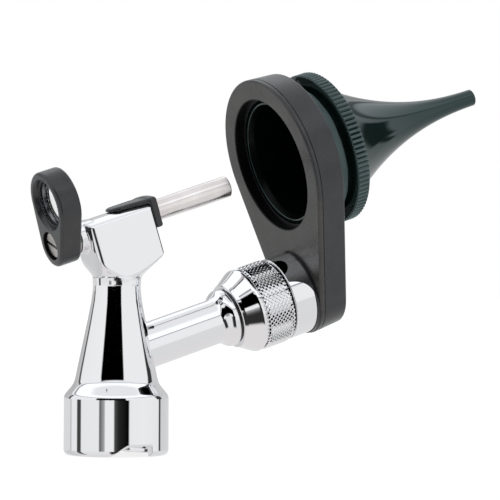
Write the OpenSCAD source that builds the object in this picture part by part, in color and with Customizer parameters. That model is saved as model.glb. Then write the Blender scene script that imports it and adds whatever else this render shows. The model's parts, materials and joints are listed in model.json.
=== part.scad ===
// Operating otoscope head: a bayonet socket for a battery handle, a swinging
// loupe, a plug-in lamp, and a swivelling carrier that holds an ear speculum.
// Base frame: origin at the centre of the socket's rim, +Z up the socket axis,
// +X towards the patient. Sight frame: +x along the arm, tilted up by `tilt`.

/* [Handle socket] */
// Outside diameter of the socket skirt
base_d = 23.5; // [23:0.1:25]
// Height of the straight part of the skirt
base_h = 12.6; // [12:0.1:14]
// Diameter of the bore that takes the handle
socket_d = 19.2; // [18.8:0.1:19.6]
// Depth of that bore
socket_depth = 10.5; // [9.5:0.1:10.5]
// Height of the two keying notches in the rim
notch_h = 2.4; // [1.5:0.1:3]

/* [Body] */
// Diameter of the neck between cone and head block
neck_d = 10.7; // [10:0.1:11.5]
// Thickness of the head block across its two flats
block_t = 10.6; // [10:0.1:11.4]
// Length of the head block along the sight line
block_l = 15.9; // [15:0.1:18]
// Upward tilt of the arm and of the sight line
tilt = 17.7; // [10:0.1:22]

/* [Arm] */
// Height at which the arm's axis crosses the socket axis
arm_z = 21.9; // [21:0.1:23]
// Diameter of the arm tube
arm_d = 10.26; // [9.6:0.02:10.6]
// Distance from the socket axis to the arm's end face
arm_l = 29; // [28.6:0.1:29.4]

/* [Lamp] */
// Height of the lamp and loupe-screw axis above the arm's axis
lamp_up = 28.4; // [27.6:0.1:29]
// Diameter of the lamp tube
lamp_d = 4.7; // [4.4:0.1:5]
// Distance from the socket axis to the lamp's tip
lamp_tip = 37.8; // [34:0.1:40]

/* [Loupe] */
// Radius of the loupe frame around the lens
loupe_r = 7.4; // [7:0.1:8]
// Radius of the loupe frame around its pivot
loupe_foot_r = 4.9; // [4.4:0.1:5.2]
// Distance from the pivot to the lens axis
loupe_reach = 10.1; // [10:0.1:12]
// Thickness of the loupe frame
loupe_t = 5.3; // [5:0.1:6]
// Swing of the loupe about its pivot screw, away from upright
loupe_swing = 22; // [-60:1:60]

/* [Carrier and speculum] */
// Thickness of the carrier, cover included
carrier_t = 7.4; // [7:0.1:8]
// Outer radius of the carrier around the speculum bore
carrier_r = 19.9; // [19.6:0.1:21]
// Outer radius of the carrier around the arm's axis
carrier_foot_r = 9.9; // [9.4:0.1:11]
// Distance from the arm's axis to the speculum's axis
carrier_reach = 30.6; // [30:0.1:33]
// Swing of the carrier about the arm, away from upright
carrier_swing = 7.7; // [-40:0.1:40]
// Outside diameter of the speculum's hub, where the carrier grips it
hub_d = 30.5; // [30:0.1:31]
// Diameter of the speculum's finger rim
rim_d = 35.1; // [33:0.1:38]
// Distance from the rim's front face to the speculum's tip
funnel_l = 40.3; // [34:0.1:44]
// Outside diameter of the speculum's tip
tip_d = 3.9; // [3:0.1:6]

/* [Hidden] */
$fn = 72;

gap = 0.05;         // radial clearance of turning and sliding pieces
fit_gap = 0.02;     // radial clearance of pieces that are fixed in place
eps = 0.01;

base_r = base_d / 2;
neck_r = neck_d / 2;
socket_r = socket_d / 2;
cone_top = 35;      // height at which the cone runs into the neck
flare_z = 39.2;     // height at which the neck starts to flare
skirt_round = 1.4;  // radius of the skirt's shoulder
top_r = 10.7;       // radius of the head block's crowned top
block_top = 31.4;   // height of that crown above the arm's axis
block_s = 0.2;      // where the block's rear face stands along the sight line
block_front = block_s + block_l;

// Stations up the socket axis, from the rim
ring_z = socket_depth + 0.1;
insul_z = ring_z + 0.6;
insul_t = 2;
insul_r = 8.58;
well_r = 2.35;      // spring well inside the insulator's boss
boss_r = 2.95;
boss_top = 20;
pin_r = 1.8;
pin_flange_z = insul_z + 2;
spring_z = pin_flange_z + 0.7;
cap_z = 18.8;
wire_bend_z = 41;
wire_end_s = 3;     // where the wire turns along the sight line
wire_r = 0.6;

// Stations along the sight line
loupe_far = -2.65;                // loupe frame's face towards the block
loupe_near = loupe_far - loupe_t; // loupe frame's face towards the eye
stud_end = -1.9;                  // end of the boss that carries the loupe
screw_seat = loupe_near + 2.65;
arm_root = 4.4;
bush_s = 22;
spindle_root = 20.6;
clip_s = 21.2;
washer_t = 0.3;
nut_s = arm_l + washer_t + eps * 2;
nut_well = 36;                    // start of the nut's spring well
collar_s = 42;
collar_end = 47.4;                  // the collar's face towards the carrier
carrier_s = 48;                     // the carrier's face towards the eye
cover_t = 1.3;
plate_s = carrier_s + cover_t;
plate_end = carrier_s + carrier_t;
hub_s = carrier_s + 2.4;
spindle_end = carrier_s + 4.6;    // where the spindle meets the carrier's web
spring_s = carrier_s + 4.5;       // groove of the speculum's retaining ring
rim_s = 60.4;
rim_t = 3.25;
rim_end = rim_s + rim_t;
tip_s = rim_end + funnel_l;

nut_r = 9.6;
collar_r = 9.45;
spindle_r = 2.5;
thread_r = 3.4;
bead_r = 6.67;
lamp_r = lamp_d / 2;
lamp_bore_r = lamp_r + 0.5;         // bore of the head block for the lamp's socket
lamp_seat = 4.8;                  // rear end of the lamp's metal tube
contact_s = lamp_seat - 0.7;      // face of the fixed contact behind it
clip_t = 1.9;
hub_r = hub_d / 2;
hub_bore_r = hub_r + 0.08;        // bore of the carrier round the hub
hub_nose_r = 14.2;                // thinner end of the hub
hub_wall = 1.1;
cover_screw_r = 17.6;             // radius on which the cover screws stand
lens_r = 5.25;
lens_t = 2;
lens_s = loupe_far - 0.8 - lens_t;
recess_r = 3.18;

// ---- shared helpers ----

// Points of an arc round (cx, cy), from angle a0 to a1 in n steps
function arc(cx, cy, r, a0, a1, n = 8) =
    [for (i = [0:n]) let (a = a0 + (a1 - a0) * i / n) [cx + r * cos(a), cy + r * sin(a)]];

// Puts its children into the sight frame
module sight() {
    translate([0, 0, arm_z]) rotate([0, -tilt, 0]) children();
}

// Puts its children on the lamp's axis, in the sight frame
module on_lamp_axis() {
    sight() translate([0, 0, lamp_up]) children();
}

// Turns its children with the loupe about its pivot
module on_loupe() {
    on_lamp_axis() rotate([loupe_swing, 0, 0]) children();
}

// Turns its children with the carrier about the arm
module on_carrier() {
    sight() rotate([carrier_swing, 0, 0]) children();
}

// A round bar along x, from x0 to x1
module bar(x0, x1, r) {
    translate([x0, 0, 0]) rotate([0, 90, 0]) cylinder(h = x1 - x0, r = r);
}

// A ring along x, from x0 to x1
module tube(x0, x1, r_out, r_in) {
    difference() {
        bar(x0, x1, r_out);
        bar(x0 - 1, x1 + 1, r_in);
    }
}

// Turns a profile of [x, radius] points about the x axis
module turned(profile) {
    rotate([0, 90, 0]) rotate_extrude() polygon([for (p = profile) [p[1], p[0]]]);
}

// Turns a profile of [z, radius] points about the z axis
module turned_z(profile) {
    rotate_extrude() polygon([for (p = profile) [p[1], p[0]]]);
}

// A flat link along x, round its foot on the x axis and round its head at height reach
module link(x0, x1, r_foot, r_head, reach) {
    lean = asin((r_head - r_foot) / reach);
    translate([x0, 0, 0]) rotate([90, 0, 90]) linear_extrude(x1 - x0)
        polygon(concat(
            arc(0, reach, r_head, -lean, 180 + lean, 40),
            arc(0, 0, r_foot, 180 + lean, 360 - lean, 24)
        ));
}

// A compression spring of round wire up the z axis, from 0 to h
module coil(h, r, wire, turns, steps = 14, sides = 6) {
    n = turns * steps;
    ring = [for (i = [0:n]) let (a = 360 * i / steps, z = wire + (h - 2 * wire) * i / n)
        for (j = [0:sides - 1]) let (b = 360 * j / sides)
            [(r + wire * cos(b)) * cos(a), (r + wire * cos(b)) * sin(a), z + wire * sin(b)]];
    walls = [for (i = [0:n - 1]) for (j = [0:sides - 1]) let (k = (j + 1) % sides)
        [i * sides + j, (i + 1) * sides + j, (i + 1) * sides + k, i * sides + k]];
    start = [for (j = [0:sides - 1]) j];
    end = [for (j = [sides - 1:-1:0]) n * sides + j];
    polyhedron(points = ring, faces = concat(walls, [start, end]), convexity = 6);
}

// ---- body ----

// Skirt, shoulder, cone and neck, turned about the socket axis
module body_turned() {
    turned_z(concat(
        [[0, 0], [0, base_r - 0.7]],
        [for (p = arc(base_r - 0.7, 0.7, 0.7, -60, 0, 3)) [p[1], p[0]]],
        [for (p = arc(base_r - skirt_round, base_h, skirt_round, 0, 55, 5)) [p[1], p[0]]],
        [[14.7, 10.35], [15.6, 9.8], [16.8, 9.4], [cone_top, neck_r + 0.25], [36.6, neck_r]],
        [[42, neck_r], [42, 0]]
    ));
}

// The flared head, cut by two flats, its end faces and its crowned top
module head_block() {
    intersection() {
        turned_z([[flare_z, 0], [flare_z, neck_r], [40.3, 5.9], [41.3, 6.85], [60, 26.4], [60, 0]]);
        translate([-20, -block_t / 2, 30]) cube([40, block_t, 40]);
        sight() translate([0, 0, block_top - top_r]) bar(block_s, block_front, top_r);
    }
}

// The boss behind the block that carries the loupe, level with the block's crown
module loupe_boss() {
    intersection() {
        on_lamp_axis() bar(stud_end, block_s + 0.5, 3.9);
        sight() translate([0, 0, block_top - top_r]) bar(stud_end - 1, block_s + 1, top_r);
    }
}

// A keying notch in the rim, with one sloping and one steep side
module rim_notch() {
    translate([0, -socket_r + 1, 0]) rotate([90, 0, 0]) linear_extrude(4)
        polygon([[-5.6, -1], [-5.6, 0], [-4.3, 0.45], [-3.2, notch_h * 0.65],
                 [-2.2, notch_h], [3.4, notch_h], [3.7, 0], [3.7, -1]]);
}

// The groove inside the skirt that a handle's stud follows
module bayonet_groove() {
    depth = 1;
    rotate([0, 0, -97]) rotate_extrude(angle = 14)
        translate([socket_r - 0.5, 0]) square([depth + 0.5, 6.4]);
    rotate([0, 0, -97]) rotate_extrude(angle = 38)
        translate([socket_r - 0.5, 4]) square([depth + 0.5, 2.4]);
}

module head_body() {
    color("gainsboro") difference() {
        union() {
            body_turned();
            head_block();
            loupe_boss();
        }
        translate([0, 0, -1]) cylinder(h = socket_depth + 1, r = socket_r);
        translate([0, 0, 1]) cylinder(h = insul_z - 1, r = insul_r + 0.7);
        translate([0, 0, 1]) cylinder(h = insul_z + insul_t + 0.1 - 1, r = insul_r + fit_gap);
        translate([0, 0, 5]) cylinder(h = 17, r = boss_r + gap);
        translate([0, 0, 5]) cylinder(h = wire_bend_z - 5, r = wire_r + 0.6);
        wire_path(wire_r + 0.6);
        sight() bar(arm_root, arm_l, arm_d / 2 + fit_gap);
        on_lamp_axis() bar(1.6, block_front + 1, lamp_bore_r + fit_gap);
        on_lamp_axis() bar(stud_end - 1, 2, 1.2 + fit_gap);
        for (turn = [0, 180]) rotate([0, 0, turn]) {
            rim_notch();
            bayonet_groove();
        }
    }
}

// The run from the body's axis up to the lamp's axis, and along it to the contact
module wire_path(r) {
    foot = [0, 0, wire_bend_z];
    head = [wire_end_s * cos(tilt) - lamp_up * sin(tilt), 0,
            arm_z + wire_end_s * sin(tilt) + lamp_up * cos(tilt)];
    run = head - foot;
    lap = r / 3;
    translate(foot) rotate([0, atan2(run[0], run[2]), 0]) translate([0, 0, -lap])
        cylinder(h = norm(run) + 2 * lap, r = r);
    on_lamp_axis() bar(wire_end_s - lap, contact_s - eps, r);
}

// ---- pieces in the socket ----

module socket_ring() {
    color("silver") translate([0, 0, ring_z]) rotate([0, 0, 20])
        rotate_extrude(angle = 320) translate([7.4, 0]) square([1.85, insul_z - ring_z - eps]);
}

module contact_insulator() {
    color("#2a2522") turned_z([
        [insul_z, pin_r + gap], [insul_z, insul_r], [insul_z + insul_t, insul_r],
        [insul_z + insul_t, boss_r], [boss_top, boss_r], [boss_top, well_r],
        [pin_flange_z, well_r], [pin_flange_z, pin_r + gap]
    ]);
}

module contact_pin() {
    color("goldenrod") turned_z([
        [ring_z, 0], [ring_z, pin_r - 0.5], [ring_z + 0.5, pin_r], [pin_flange_z + eps, pin_r],
        [pin_flange_z + eps, well_r - gap], [spring_z - eps, well_r - gap], [spring_z - eps, 0]
    ]);
}

module contact_spring() {
    color("silver") translate([0, 0, spring_z]) coil(cap_z - spring_z - eps, 1.75, 0.25, 6);
}

module contact_cap() {
    color("goldenrod") translate([0, 0, cap_z]) cylinder(h = boss_top - cap_z, r = well_r - fit_gap);
}

module feed_wire() {
    color("firebrick") {
        translate([0, 0, boss_top]) cylinder(h = wire_bend_z + wire_r / 3 - boss_top, r = wire_r);
        wire_path(wire_r);
    }
}

// ---- lamp ----

module lamp_socket() {
    color("goldenrod") on_lamp_axis() tube(contact_s + 0.5, block_front - 0.1, lamp_bore_r, lamp_r + gap);
}

module lamp_contact() {
    color("goldenrod") on_lamp_axis() bar(contact_s, contact_s + 0.3, 1.5);
}

module lamp_tube() {
    wall = 0.3;
    color("lightgray") on_lamp_axis() turned([
        [lamp_seat, lamp_r - wall], [lamp_seat, lamp_r], [block_front + 3, lamp_r],
        [lamp_tip - 8, lamp_r + 0.12], [lamp_tip - 0.4, lamp_r + 0.12],
        [lamp_tip, lamp_r - 0.2], [lamp_tip, lamp_r - wall]
    ]);
}

module lamp_bulb() {
    r = lamp_r - 0.5;
    color("lightcyan") on_lamp_axis() turned(concat(
        [[lamp_tip - 10, 0], [lamp_tip - 10, r]],
        arc(lamp_tip - 1.3 - r, 0, r, 90, 0, 6)
    ));
}

module lamp_window() {
    color("azure") on_lamp_axis() bar(lamp_tip - 1, lamp_tip - 0.4, lamp_r - 0.3 - eps);
}

module lamp_base() {
    color("#3a3431") on_lamp_axis() tube(lamp_seat + 0.1, lamp_seat + 5, lamp_r - 0.3 - eps, 0.7);
}

module lamp_pin() {
    color("goldenrod") on_lamp_axis() {
        bar(lamp_seat - 0.35, lamp_seat + 0.1, 1.1);
        bar(lamp_seat + 0.1, lamp_seat + 5.6, 0.7 - eps);
    }
}

// Plan of the thumb tongue along x: a round end, widening towards the front
module tongue_plan(end, front) {
    r = 3;
    polygon(concat(
        arc(end + r, 0, r, 90, 270, 16),
        [[front, -4.4], [front, 4.4]]
    ));
}

// A thumb tongue along the block's crown, and a cheek in front of the block
module lamp_clip() {
    front = block_front + 0.1;
    tongue_r = top_r + 0.05;
    flat_r = 24;
    color("#222426") sight() difference() {
        union() {
            intersection() {
                translate([0, 0, 25]) linear_extrude(12) tongue_plan(7.3, front + clip_t);
                translate([0, 0, block_top + 0.95 - flat_r]) bar(7, front + clip_t, flat_r);
                difference() {
                    translate([7, -6, 28]) cube([20, 12, 6]);
                    translate([0, 0, block_top - top_r]) bar(6, front, tongue_r);
                }
            }
            intersection() {
                translate([front, -4.4, 25.1]) cube([clip_t, 8.8, 10]);
                translate([0, 0, block_top + 0.95 - flat_r]) bar(front - 1, front + 3, flat_r);
            }
        }
        translate([0, 0, lamp_up]) bar(front - 1, front + 3, lamp_r + fit_gap);
    }
}

// ---- loupe ----

module loupe_frame() {
    color("#26282a") on_loupe() difference() {
        link(loupe_near, loupe_far, loupe_foot_r, loupe_r, loupe_reach);
        translate([0, 0, loupe_reach]) {
            bar(loupe_near - 1, loupe_far - 0.8, lens_r + fit_gap);
            bar(loupe_near - 1, loupe_far + 1, 4.6);
        }
        bar(loupe_near - 1, screw_seat, recess_r);
        bar(loupe_near - 1, loupe_far + 1, 2.1);
    }
}

module loupe_lens() {
    sag = 0.7;
    ball = (lens_r * lens_r + sag * sag) / (2 * sag);
    half = asin(lens_r / ball);
    color("lightcyan", 0.4) on_loupe() translate([0, 0, loupe_reach]) turned(concat(
        arc(lens_s + ball, 0, ball, 180, 180 - half, 6),
        arc(lens_s + lens_t - ball, 0, ball, half, 0, 6)
    ));
}

module loupe_lens_ring() {
    color("#303336") on_loupe() translate([0, 0, loupe_reach])
        tube(lens_s - 0.6, lens_s + 0.1, lens_r, lens_r - 0.75);
}

module loupe_bush() {
    color("goldenrod") on_loupe() tube(screw_seat + 0.02, loupe_far, 2.1 - eps, 1.6 + gap);
}

module loupe_screw() {
    head_s = loupe_near + 0.6;
    color("silver") on_lamp_axis() difference() {
        union() {
            bar(head_s, screw_seat - 0.02, 2.75);
            bar(screw_seat - 0.1, stud_end, 1.6);
            bar(stud_end - 0.1, 1.5, 1.2);
        }
        rotate([21, 0, 0]) translate([head_s - 1, -4, -0.35]) cube([1.7, 8, 0.7]);
    }
}

module loupe_spring_washer() {
    color("silver") on_lamp_axis() tube(loupe_far + 0.02, stud_end - eps, 3.5, 1.6 + gap);
}

// ---- arm and swivel ----

module arm_tube() {
    color("gainsboro") sight() turned(concat(
        [[arm_root + 0.1, 3.6], [arm_root + 0.1, arm_d / 2], [22.3, arm_d / 2]],
        [for (p = arc(22.3, arm_d / 2 + 5, 5, -90, -48, 5)) p],
        [[27.4, bead_r], [28.6, bead_r]],
        arc(28.4, bead_r - 0.6, 0.6, 70, 0, 3),
        [[arm_l, 3.6]]
    ));
}

module arm_bush() {
    color("goldenrod") sight() tube(bush_s, arm_l - 0.05, 3.6 - fit_gap, spindle_r + gap);
}

module thrust_washer() {
    color("#1c1c1c") sight() tube(arm_l + eps, arm_l + washer_t, 6.2, thread_r + gap);
}

module lock_nut() {
    color("gainsboro") sight() turned([
        [nut_s, thread_r + gap], [nut_s, 7.3], [nut_s + 0.35, 7.7], [nut_s + 3.8, 9.4],
        [nut_s + 4.05, 9.75], [nut_s + 4.5, 9.75], [nut_s + 4.7, 9.35], [nut_s + 4.95, 9.35],
        [nut_s + 5.1, nut_r], [collar_s - 0.5, nut_r], [collar_s - 0.2, nut_r - 0.3],
        [collar_s - 0.2, 7.6], [nut_well, 7.6], [nut_well, thread_r + gap]
    ]);
}

module swivel_spring() {
    color("silver") sight() translate([nut_well + eps, 0, 0]) rotate([0, 90, 0])
        coil(collar_s - nut_well - 2 * eps, 5.6, 0.5, 4, 20);
}

module swivel_spindle() {
    color("silver") on_carrier() difference() {
        turned([
            [spindle_root, 0], [spindle_root, spindle_r - 0.3], [spindle_root + 0.3, spindle_r],
            [clip_s, spindle_r], [clip_s, 2], [clip_s + 0.45, 2], [clip_s + 0.45, spindle_r],
            [arm_l + 0.05, spindle_r], [arm_l + 0.05, thread_r], [collar_end, thread_r],
            [collar_end, 3], [spindle_end, 3], [spindle_end, 0]
        ]);
        bar(46, spindle_end + 1, 1.5 + fit_gap);
    }
}

module spindle_washer() {
    color("silver") sight() tube(clip_s + 0.47, bush_s - 0.02, 3.5, spindle_r + gap);
}

module spindle_clip() {
    color("silver") on_carrier() rotate([0, 90, 0]) translate([0, 0, clip_s + 0.02])
        rotate_extrude(angle = 300) translate([2, 0]) square([1.2, 0.4]);
}

module swivel_collar() {
    color("gainsboro") on_carrier() turned([
        [collar_s, thread_r + fit_gap], [collar_s, collar_r - 0.15], [collar_s + 0.15, collar_r],
        [collar_end - 0.15, collar_r], [collar_end, collar_r - 0.15],
        [collar_end, thread_r + fit_gap]
    ]);
}

module carrier_washer() {
    color("#1c1c1c") on_carrier() tube(collar_end + eps, carrier_s - eps, carrier_foot_r - 0.1, 3 + fit_gap);
}

// ---- carrier ----

// Places its children at each cover screw, round the speculum bore
module at_cover_screws() {
    for (a = [50, 130, 215, 325])
        translate([0, cover_screw_r * cos(a), carrier_reach + cover_screw_r * sin(a)]) children();
}

module carrier_cover() {
    color("#2b2d2e") on_carrier() difference() {
        link(carrier_s, plate_s - eps, carrier_foot_r, carrier_r, carrier_reach);
        translate([0, 0, carrier_reach]) bar(carrier_s - 1, plate_s + 1, hub_bore_r);
        bar(carrier_s - 1, plate_s + 1, 3 + fit_gap);
        at_cover_screws() bar(carrier_s + 0.5, plate_s + 1, 0.6 + fit_gap);
    }
}

module carrier_plate() {
    color("#2b2d2e") on_carrier() difference() {
        link(plate_s, plate_end, carrier_foot_r, carrier_r, carrier_reach);
        translate([0, 0, carrier_reach]) {
            bar(plate_s - 1, hub_s + 0.1, hub_bore_r);
            bar(plate_s, hub_s + 1, hub_nose_r + 0.6);
            bar(hub_s + 0.9, plate_end + 1, hub_bore_r);
            bar(spring_s, spring_s + 1.2, hub_r + 0.9);
        }
        bar(plate_s - 1, spindle_end + eps, 3 + fit_gap);
        bar(spindle_end - 1, plate_end + 1, 1.5 + fit_gap);
        bar(spindle_end + 1, plate_end + 1, 3.3);
        at_cover_screws() {
            bar(plate_s - 1, plate_end + 1, 0.6 + fit_gap);
            bar(plate_end - 1, plate_end + 1, 1.4);
        }
    }
}

module carrier_screw() {
    color("silver") on_carrier() difference() {
        union() {
            bar(47, spindle_end + 1.1, 1.5);
            bar(spindle_end + 1 + eps, plate_end - 0.2, 3.2);
        }
        translate([plate_end - 0.9, -4, -0.4]) cube([1, 8, 0.8]);
    }
}

module cover_screws() {
    color("silver") on_carrier() at_cover_screws() difference() {
        union() {
            bar(carrier_s + 0.7, plate_end - 0.5, 0.6);
            bar(plate_end - 1 + eps, plate_end - 0.1, 1.35);
        }
        translate([plate_end - 0.5, -2, -0.2]) cube([1, 4, 0.4]);
    }
}

module speculum_spring() {
    color("silver") on_carrier() translate([spring_s + 0.1, 0, carrier_reach]) rotate([0, 90, 0])
        rotate_extrude(angle = 330) translate([hub_r + 0.1, 0]) square([0.7, 1]);
}

// ---- speculum ----

// Outer radius of the funnel, from t = 0 at the rim to t = 1 at the tip
function funnel_r(t) = tip_d / 2 + (14.4 - tip_d / 2) * pow(1 - t, 2.2);
// Wall of the funnel, thinner towards the tip
function funnel_wall(t) = 1.2 - 0.75 * t;

module speculum() {
    steps = 16;
    color("#10211e") on_carrier() translate([0, 0, carrier_reach]) turned(concat(
        [[hub_s, hub_nose_r - 0.5], [hub_s, hub_nose_r], [spring_s - 1, hub_nose_r],
         [spring_s - 0.7, hub_r], [rim_s - 1.3, hub_r], [rim_s - 1, hub_nose_r],
         [rim_s, hub_nose_r], [rim_s, rim_d / 2], [rim_end, rim_d / 2], [rim_end, funnel_r(0)]],
        [for (i = [1:steps]) [rim_end + funnel_l * i / steps, funnel_r(i / steps)]],
        [for (i = [steps:-1:1]) [rim_end + funnel_l * i / steps, funnel_r(i / steps) - funnel_wall(i / steps)]],
        [[rim_s, hub_nose_r - hub_wall], [hub_s + 1.5, hub_nose_r - hub_wall]]
    ));
}

head_body();
arm_tube();
arm_bush();
socket_ring();
contact_insulator();
contact_pin();
contact_spring();
contact_cap();
feed_wire();
lamp_socket();
lamp_contact();
lamp_tube();
lamp_bulb();
lamp_window();
lamp_base();
lamp_pin();
lamp_clip();
loupe_frame();
loupe_lens();
loupe_lens_ring();
loupe_bush();
loupe_screw();
loupe_spring_washer();
thrust_washer();
lock_nut();
swivel_spring();
swivel_spindle();
spindle_washer();
spindle_clip();
swivel_collar();
carrier_washer();
carrier_plate();
carrier_cover();
carrier_screw();
cover_screws();
speculum_spring();
speculum();
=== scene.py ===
"""Operating otoscope head: chromed body, black loupe, tab and carrier, dark green speculum.

Shapes are made in millimetres in one of five frames and placed in metres. ROW is the frame of
the CAD nodes. In SIGHT, LAMP, LOUPE and CARRIER x runs along the sight line and z across it.
"""
import json
import math

import bmesh
import bpy
import numpy as np
from mathutils import Matrix, Vector
from mathutils.geometry import tessellate_polygon


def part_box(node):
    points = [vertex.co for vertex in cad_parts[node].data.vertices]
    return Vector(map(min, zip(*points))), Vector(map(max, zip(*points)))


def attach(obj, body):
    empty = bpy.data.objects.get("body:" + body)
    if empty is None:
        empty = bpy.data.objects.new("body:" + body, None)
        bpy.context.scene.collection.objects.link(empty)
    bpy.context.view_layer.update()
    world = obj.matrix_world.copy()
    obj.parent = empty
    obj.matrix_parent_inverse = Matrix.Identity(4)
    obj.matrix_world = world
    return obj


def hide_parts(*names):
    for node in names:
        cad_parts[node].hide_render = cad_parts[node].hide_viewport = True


MM = 0.001
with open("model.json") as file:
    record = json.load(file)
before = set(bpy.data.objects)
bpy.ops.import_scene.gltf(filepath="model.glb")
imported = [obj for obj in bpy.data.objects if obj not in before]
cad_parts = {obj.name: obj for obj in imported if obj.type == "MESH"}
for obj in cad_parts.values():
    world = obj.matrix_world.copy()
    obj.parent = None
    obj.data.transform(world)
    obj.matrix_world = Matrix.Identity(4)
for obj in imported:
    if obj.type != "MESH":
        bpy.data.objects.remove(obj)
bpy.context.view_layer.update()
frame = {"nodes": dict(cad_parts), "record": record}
joints = {j["name"]: j for j in frame["record"]["behaviour"]["joints"]}


# ---- places, read from the frame ----

ROW = Matrix.Diagonal((MM, MM, MM, 1))


def sight_frame():
    """x along the arm, y sideways, z up across the arm, from where it meets the socket's axis."""
    joint = joints["carrier_swivel"]
    x = Vector(joint["axis"]).normalized()
    y = Vector((0, 1, 0))
    z = x.cross(y)
    place = Matrix((x, y, z)).transposed().to_4x4()
    place.translation = Vector(joint["pos_m"])
    return place @ ROW


def points(node, place):
    """A CAD node's vertices in a frame, in millimetres."""
    mesh = frame["nodes"][node].data
    flat = np.empty(len(mesh.vertices) * 3)
    mesh.vertices.foreach_get("co", flat)
    back = np.array(place.inverted())
    return flat.reshape(-1, 3) @ back[:3, :3].T + back[:3, 3]


def span(node, place):
    """Where a node starts and ends along x, and its greatest radius about x."""
    p = points(node, place)
    return p[:, 0].min(), p[:, 0].max(), np.hypot(p[:, 1], p[:, 2]).max()


def turned_towards(place, node):
    """The frame turned about x until the node's middle is straight up, and how far up that is."""
    p = points(node, place)
    y, z = ((p[:, i].min() + p[:, i].max()) / 2 for i in (1, 2))
    return place @ Matrix.Rotation(math.atan2(-y, z), 4, "X"), math.hypot(y, z)


SIGHT = sight_frame()
lamp_up = (SIGHT.inverted() @ Vector(joints["loupe_swing"]["pos_m"])).z
LAMP = SIGHT @ Matrix.Translation((0, 0, lamp_up))
LOUPE, loupe_reach = turned_towards(LAMP, "loupe_lens")
CARRIER, carrier_reach = turned_towards(SIGHT, "speculum")
arm_z = SIGHT.translation.z / MM
lamp_r = span("lamp_tube", LAMP)[2]
tilt = math.atan2(SIGHT[2][0], SIGHT[0][0])


# ---- node trees ----

class Tree:
    """A short way to write shader nodes."""

    def __init__(self, tree):
        self.tree = tree
        tree.nodes.clear()

    def node(self, kind, **values):
        made = self.tree.nodes.new("ShaderNode" + kind)
        for name, value in values.items():
            if hasattr(made, name):
                setattr(made, name, value)
            else:
                self.put(made.inputs[name.replace("_", " ")], value)
        return made

    def put(self, socket, value):
        if isinstance(value, bpy.types.NodeSocket):
            self.tree.links.new(value, socket)
        elif hasattr(socket.default_value, "__len__") and len(socket.default_value) == 4:
            socket.default_value = (*value, 1)
        else:
            socket.default_value = value

    def math(self, operation, *values):
        made = self.tree.nodes.new("ShaderNodeMath")
        made.operation = operation
        for socket, value in zip(made.inputs, values):
            self.put(socket, value)
        return made.outputs[0]

    def dot(self, vector, axis):
        made = self.tree.nodes.new("ShaderNodeVectorMath")
        made.operation = "DOT_PRODUCT"
        self.put(made.inputs[0], vector)
        made.inputs[1].default_value = axis
        return made.outputs["Value"]

    def ramp(self, value, stops, smooth="EASE"):
        made = self.node("ValToRGB")
        self.put(made.inputs[0], value)
        made.color_ramp.interpolation = smooth
        while len(made.color_ramp.elements) < len(stops):
            made.color_ramp.elements.new(0.5)
        for element, (at, shade) in zip(made.color_ramp.elements, stops):
            element.position = at
            element.color = (shade, shade, shade, 1) if np.isscalar(shade) else (*shade, 1)
        return made.outputs[0]

    def blend(self, factor, a, b):
        made = self.tree.nodes.new("ShaderNodeMix")
        made.data_type = "RGBA"
        self.put(made.inputs["Factor"], factor)
        first, second = (s for s in made.inputs if s.type == "RGBA")
        self.put(first, a)
        self.put(second, b)
        return next(s for s in made.outputs if s.type == "RGBA")

    def noise(self, vector, scale, detail=2.0, stretch=(1, 1, 1)):
        mapping = self.node("Mapping")
        self.put(mapping.inputs["Vector"], vector)
        mapping.inputs["Scale"].default_value = stretch
        made = self.node("TexNoise", Scale=scale, Detail=detail)
        self.put(made.inputs["Vector"], mapping.outputs[0])
        return made.outputs[0]

    def bump(self, height, distance, strength=1.0):
        made = self.node("Bump", Strength=strength, Distance=distance)
        self.put(made.inputs["Height"], height)
        return made.outputs[0]


def material(name, build, **values):
    """A material on one Principled shader. build(tree, place) gives more of its inputs."""
    made = bpy.data.materials.new(name)
    made.use_nodes = True
    tree = Tree(made.node_tree)
    place = tree.node("TexCoord").outputs["Object"]
    values.update(build(tree, place))
    shader = tree.node("BsdfPrincipled", **values)
    tree.put(tree.node("OutputMaterial").inputs[0], shader.outputs[0])
    return made


def plating(tree, place):
    """Bright plating: a faint haze that comes and goes, and the least waviness."""
    haze = tree.noise(place, 260, 3)
    return {
        "Roughness": tree.ramp(haze, [(0.3, 0.02), (0.75, 0.06)]),
        "Normal": tree.bump(tree.noise(place, 420, 1), 0.000002, 0.25),
    }


def blasted(shade, warm):
    """Matt finish with a fine even grain, in cloudy patches of two shades."""
    def build(tree, place):
        grain = tree.noise(place, 5200, 3)
        cloud = tree.noise(place, 190, 3)
        dark = tuple(0.8 * c for c in shade)
        return {
            "Base_Color": tree.blend(tree.ramp(cloud, [(0.3, 0.0), (0.7, 1.0)]), dark, warm),
            "Roughness": tree.ramp(grain, [(0.3, 0.22), (0.7, 0.38)]),
            "Normal": tree.bump(grain, 0.00002, 0.55),
        }
    return build


def moulded(deep, pale):
    """Polished moulded plastic: slow colour flow, a soft ripple and a few dull patches."""
    def build(tree, place):
        flow = tree.noise(place, 90, 3)
        return {
            "Base_Color": tree.blend(tree.ramp(flow, [(0.3, 0.0), (0.7, 1.0)]), deep, pale),
            "Roughness": tree.ramp(tree.noise(place, 300, 4), [(0.35, 0.04), (0.75, 0.09)]),
            "Normal": tree.bump(tree.noise(place, 240, 2), 0.00001, 0.3),
        }
    return build


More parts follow.
